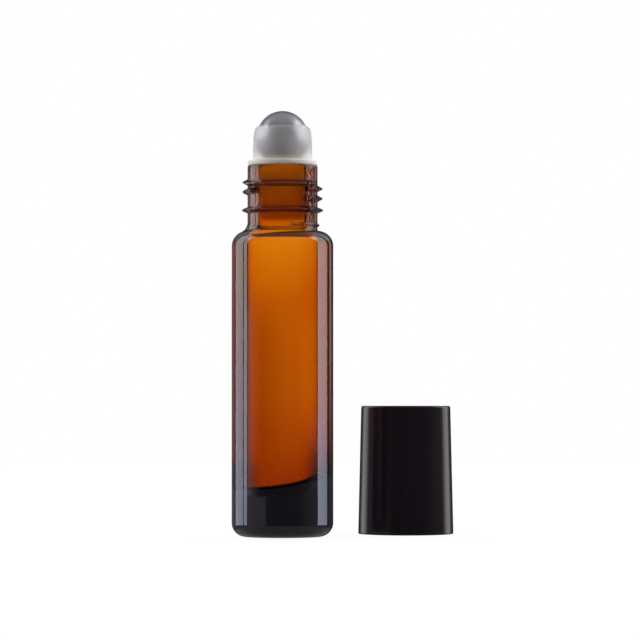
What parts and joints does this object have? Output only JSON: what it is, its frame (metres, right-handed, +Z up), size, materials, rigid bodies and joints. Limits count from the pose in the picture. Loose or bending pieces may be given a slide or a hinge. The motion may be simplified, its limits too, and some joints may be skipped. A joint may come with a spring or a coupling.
{
  "type": "roll-on bottle",
  "caption": "Slim thick-walled amber glass roll-on bottle with a steel ball in a snap-in plastic housing, and a tapered black screw cap standing beside it.",
  "frame": {"origin": "centre of the bottle's foot, on the table", "axes": "+Z up along the bottle's axis, +X towards the cap, -Y towards the front of the picture"},
  "size_m": [0.0441, 0.0335, 0.0838],
  "materials": {
    "amber_glass": "fire-polished moulded amber glass",
    "natural_plastic": "translucent natural polyethylene",
    "polished_steel": "polished stainless steel",
    "black_plastic": "satin-gloss moulded polypropylene",
    "liner_plastic": "soft natural polyethylene"
  },
  "bodies": {
    "bottle": {"glass_bottle": "amber_glass"},
    "housing": {"roller_housing": "natural_plastic"},
    "ball": {"roller_ball": "polished_steel"},
    "cap": {"cap": "black_plastic", "cap_liner": "liner_plastic"}
  },
  "joints": [
    {"name": "housing_pull", "type": "slide", "parent": "bottle", "child": "housing", "axis": [0, 0, 1], "range_m": [0, 0.02]},
    {"name": "ball_roll", "type": "hinge", "parent": "housing", "child": "ball", "pos_m": [0, 0, 0.0788], "axis": [1, 0, 0], "continuous": true},
    {"name": "cap_lift", "type": "slide", "parent": "bottle", "child": "cap", "axis": [0, 0, 1], "range_m": [0, 0.09]}
  ]
}
